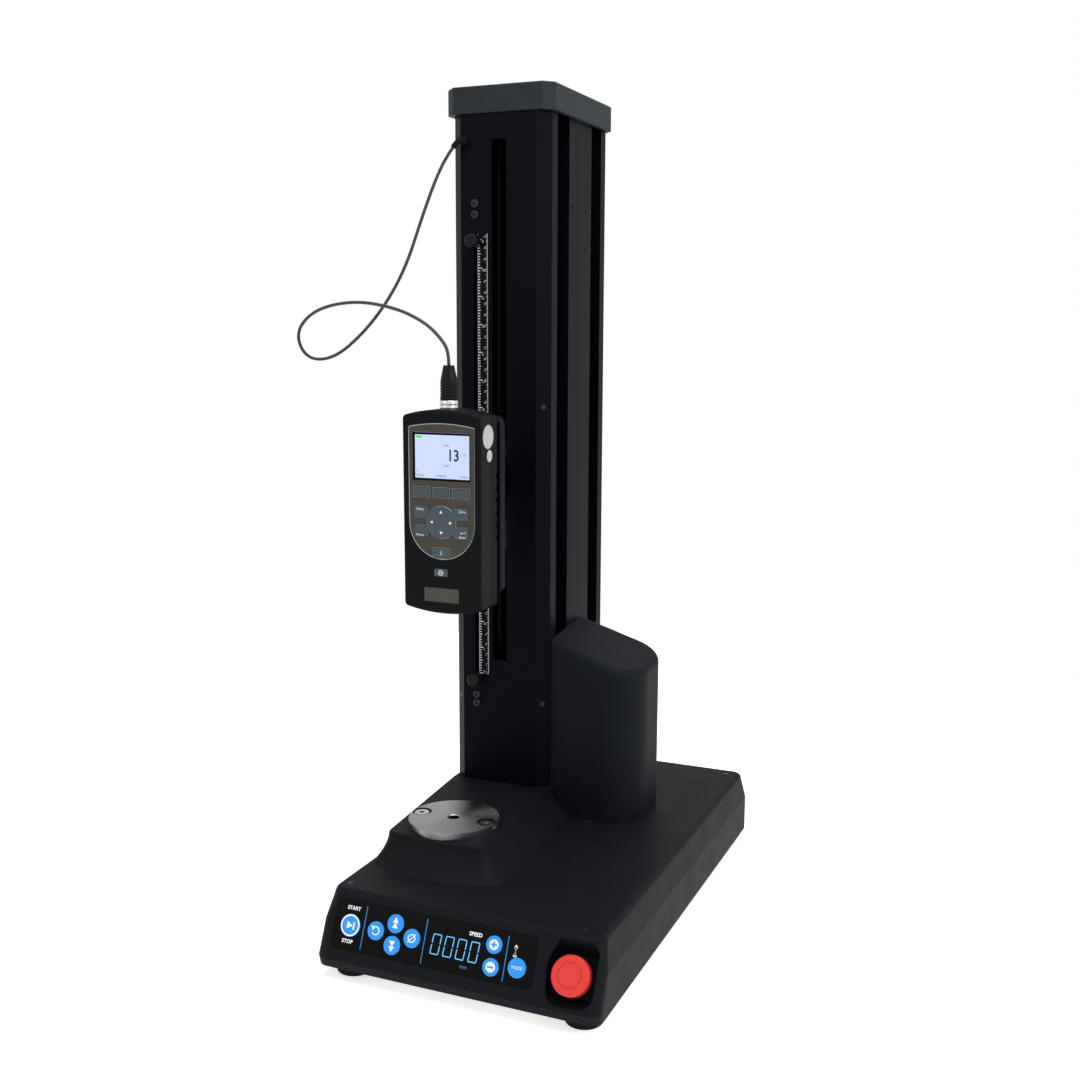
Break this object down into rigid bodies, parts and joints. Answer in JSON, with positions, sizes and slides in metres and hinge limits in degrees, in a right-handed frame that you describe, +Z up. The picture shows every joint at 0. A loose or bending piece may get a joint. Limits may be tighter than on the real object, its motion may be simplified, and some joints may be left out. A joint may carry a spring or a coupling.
{
  "type": "universal testing machine",
  "caption": "Motorised benchtop test stand: column on a wide base, lead-screw crosshead carrying a digital force gauge over a round specimen plate, sloping control panel, stop button.",
  "frame": {"origin": "centre of the base's footprint, on the bench", "axes": "+X to the right seen from the front, +Y towards the back, +Z up along the column"},
  "size_m": [0.3623, 0.4426, 0.7448],
  "materials": {
    "textured_casting": "cast, black textured powder coat",
    "textured_moulding": "black textured moulding",
    "grey_moulding": "dark grey moulding",
    "black_moulding": "black moulding",
    "gauge_moulding": "black moulding, fine texture",
    "black_anodised": "black anodised",
    "plain_aluminium": "machined",
    "zinc_plate": "zinc plated sheet",
    "motor_steel": "black painted",
    "bright_steel": "turned and polished",
    "black_screws": "black oxide",
    "bronze": "plain bronze",
    "black_rubber": "matte",
    "overlay_film": "printed film",
    "blue_key": "blue domed key",
    "teal_key": "grey-teal key",
    "red_moulding": "red moulding",
    "display_glass": "display window and board",
    "circuit_board": "board and power module",
    "ruler_face": "printed scale"
  },
  "bodies": {
    "frame": {"base_cover": "textured_casting", "base_plate": "zinc_plate", "rubber_feet": "black_rubber", "housing_screws": "black_screws", "control_overlay": "overlay_film", "control_electronics": "circuit_board", "stop_switch_body": "black_moulding", "power_inlet": "black_moulding", "data_port": "black_moulding", "specimen_plate": "bright_steel", "specimen_plate_screws": "bright_steel", "column_extrusion": "black_anodised", "column_front_cover": "black_anodised", "ruler": "ruler_face", "stop_guide": "black_moulding", "top_cap": "grey_moulding", "motor_shroud": "textured_moulding", "motor": "motor_steel", "motor_bracket": "zinc_plate", "timing_belt": "black_rubber", "bearing_blocks": "plain_aluminium", "guide_rods": "bright_steel", "cable_grommet": "black_rubber", "signal_cord": "black_rubber"},
    "crosshead": {"carriage": "plain_aluminium", "lead_nut": "bronze", "guide_bushes": "bronze", "crosshead_arm": "black_anodised", "gauge_mount_plate": "black_anodised", "gauge_front_shell": "gauge_moulding", "gauge_rear_shell": "gauge_moulding", "gauge_display": "display_glass", "load_cell": "bright_steel", "gauge_plug": "black_moulding"},
    "lead_screw": {"lead_screw": "bright_steel", "driven_pulley": "plain_aluminium"},
    "motor_shaft": {"drive_pulley": "plain_aluminium"},
    "upper_stop": {"upper_limit_stop": "black_moulding"},
    "lower_stop": {"lower_limit_stop": "black_moulding"},
    "stop_plunger": {"stop_plunger": "black_moulding"},
    "stop_button": {"stop_button": "red_moulding"},
    "rocker": {"power_rocker": "black_moulding"},
    "start_stop_key": {"start_stop_key": "blue_key"},
    "return_key": {"return_key": "blue_key"},
    "raise_key": {"raise_key": "blue_key"},
    "zero_key": {"zero_key": "blue_key"},
    "lower_key": {"lower_key": "blue_key"},
    "faster_key": {"faster_key": "blue_key"},
    "slower_key": {"slower_key": "blue_key"},
    "mode_key": {"mode_key": "blue_key"},
    "left_soft_key": {"left_soft_key": "teal_key"},
    "middle_soft_key": {"middle_soft_key": "teal_key"},
    "right_soft_key": {"right_soft_key": "teal_key"},
    "upper_left_key": {"upper_left_key": "teal_key"},
    "upper_right_key": {"upper_right_key": "teal_key"},
    "lower_left_key": {"lower_left_key": "teal_key"},
    "lower_right_key": {"lower_right_key": "teal_key"},
    "info_key": {"info_key": "teal_key"},
    "gauge_power_key": {"gauge_power_key": "teal_key"},
    "navigation_pad": {"navigation_pad": "teal_key"}
  },
  "joints": [
    {"name": "crosshead_travel", "type": "slide", "parent": "frame", "child": "crosshead", "axis": [0, 0, 1], "range_m": [-0.135, 0.275], "deforming": ["signal_cord"]},
    {"name": "lead_screw_turn", "type": "hinge", "parent": "frame", "child": "lead_screw", "pos_m": [-0.0706, 0.092, 0.1], "axis": [0, 0, 1], "continuous": true},
    {"name": "motor_turn", "type": "hinge", "parent": "frame", "child": "motor_shaft", "pos_m": [0.022, 0.072, 0.1], "axis": [0, 0, 1], "continuous": true},
    {"name": "upper_stop_slide", "type": "slide", "parent": "frame", "child": "upper_stop", "axis": [0, 0, 1], "range_m": [-0.195, 0]},
    {"name": "lower_stop_slide", "type": "slide", "parent": "frame", "child": "lower_stop", "axis": [0, 0, 1], "range_m": [0, 0.195]},
    {"name": "stop_press", "type": "slide", "parent": "frame", "child": "stop_plunger", "axis": [0, 0.855, -0.5186], "range_m": [0, 0.004], "stiffness_N_per_m": 1500},
    {"name": "stop_twist", "type": "hinge", "parent": "stop_plunger", "child": "stop_button", "pos_m": [0.0985, -0.19833, 0.03721], "axis": [0, -0.855, 0.5186], "range_deg": [0, 40], "stiffness_Nm_per_rad": 0.05},
    {"name": "power_rocker_tilt", "type": "hinge", "parent": "frame", "child": "rocker", "pos_m": [0.0745, 0.2153, 0.0316], "axis": [1, 0, 0], "range_deg": [-20, 0]},
    {"name": "start_stop_key_press", "type": "slide", "parent": "frame", "child": "start_stop_key", "axis": [0, 0.9135, -0.4067], "range_m": [0, 0.0005], "stiffness_N_per_m": 1000},
    {"name": "return_key_press", "type": "slide", "parent": "frame", "child": "return_key", "axis": [0, 0.9135, -0.4067], "range_m": [0, 0.0005], "stiffness_N_per_m": 1000},
    {"name": "raise_key_press", "type": "slide", "parent": "frame", "child": "raise_key", "axis": [0, 0.9135, -0.4067], "range_m": [0, 0.0005], "stiffness_N_per_m": 1000},
    {"name": "zero_key_press", "type": "slide", "parent": "frame", "child": "zero_key", "axis": [0, 0.9135, -0.4067], "range_m": [0, 0.0005], "stiffness_N_per_m": 1000},
    {"name": "lower_key_press", "type": "slide", "parent": "frame", "child": "lower_key", "axis": [0, 0.9135, -0.4067], "range_m": [0, 0.0005], "stiffness_N_per_m": 1000},
    {"name": "faster_key_press", "type": "slide", "parent": "frame", "child": "faster_key", "axis": [0, 0.9135, -0.4067], "range_m": [0, 0.0005], "stiffness_N_per_m": 1000},
    {"name": "slower_key_press", "type": "slide", "parent": "frame", "child": "slower_key", "axis": [0, 0.9135, -0.4067], "range_m": [0, 0.0005], "stiffness_N_per_m": 1000},
    {"name": "mode_key_press", "type": "slide", "parent": "frame", "child": "mode_key", "axis": [0, 0.9135, -0.4067], "range_m": [0, 0.0005], "stiffness_N_per_m": 1000},
    {"name": "left_soft_key_press", "type": "slide", "parent": "crosshead", "child": "left_soft_key", "axis": [0, 1, 0], "range_m": [0, 0.0006], "stiffness_N_per_m": 1000},
    {"name": "middle_soft_key_press", "type": "slide", "parent": "crosshead", "child": "middle_soft_key", "axis": [0, 1, 0], "range_m": [0, 0.0006], "stiffness_N_per_m": 1000},
    {"name": "right_soft_key_press", "type": "slide", "parent": "crosshead", "child": "right_soft_key", "axis": [0, 1, 0], "range_m": [0, 0.0006], "stiffness_N_per_m": 1000},
    {"name": "upper_left_key_press", "type": "slide", "parent": "crosshead", "child": "upper_left_key", "axis": [0, 1, 0], "range_m": [0, 0.0006], "stiffness_N_per_m": 1000},
    {"name": "upper_right_key_press", "type": "slide", "parent": "crosshead", "child": "upper_right_key", "axis": [0, 1, 0], "range_m": [0, 0.0006], "stiffness_N_per_m": 1000},
    {"name": "lower_left_key_press", "type": "slide", "parent": "crosshead", "child": "lower_left_key", "axis": [0, 1, 0], "range_m": [0, 0.0006], "stiffness_N_per_m": 1000},
    {"name": "lower_right_key_press", "type": "slide", "parent": "crosshead", "child": "lower_right_key", "axis": [0, 1, 0], "range_m": [0, 0.0006], "stiffness_N_per_m": 1000},
    {"name": "info_key_press", "type": "slide", "parent": "crosshead", "child": "info_key", "axis": [0, 1, 0], "range_m": [0, 0.0006], "stiffness_N_per_m": 1000},
    {"name": "gauge_power_key_press", "type": "slide", "parent": "crosshead", "child": "gauge_power_key", "axis": [0, 1, 0], "range_m": [0, 0.0006], "stiffness_N_per_m": 1000},
    {"name": "navigation_pad_press", "type": "slide", "parent": "crosshead", "child": "navigation_pad", "axis": [0, 1, 0], "range_m": [0, 0.0006], "stiffness_N_per_m": 1000}
  ],
  "couplings": [
    {"joint": "lead_screw_turn", "follows": "crosshead_travel", "rad_per_m": 1256.6},
    {"joint": "motor_turn", "follows": "crosshead_travel", "rad_per_m": 2513.3}
  ]
}
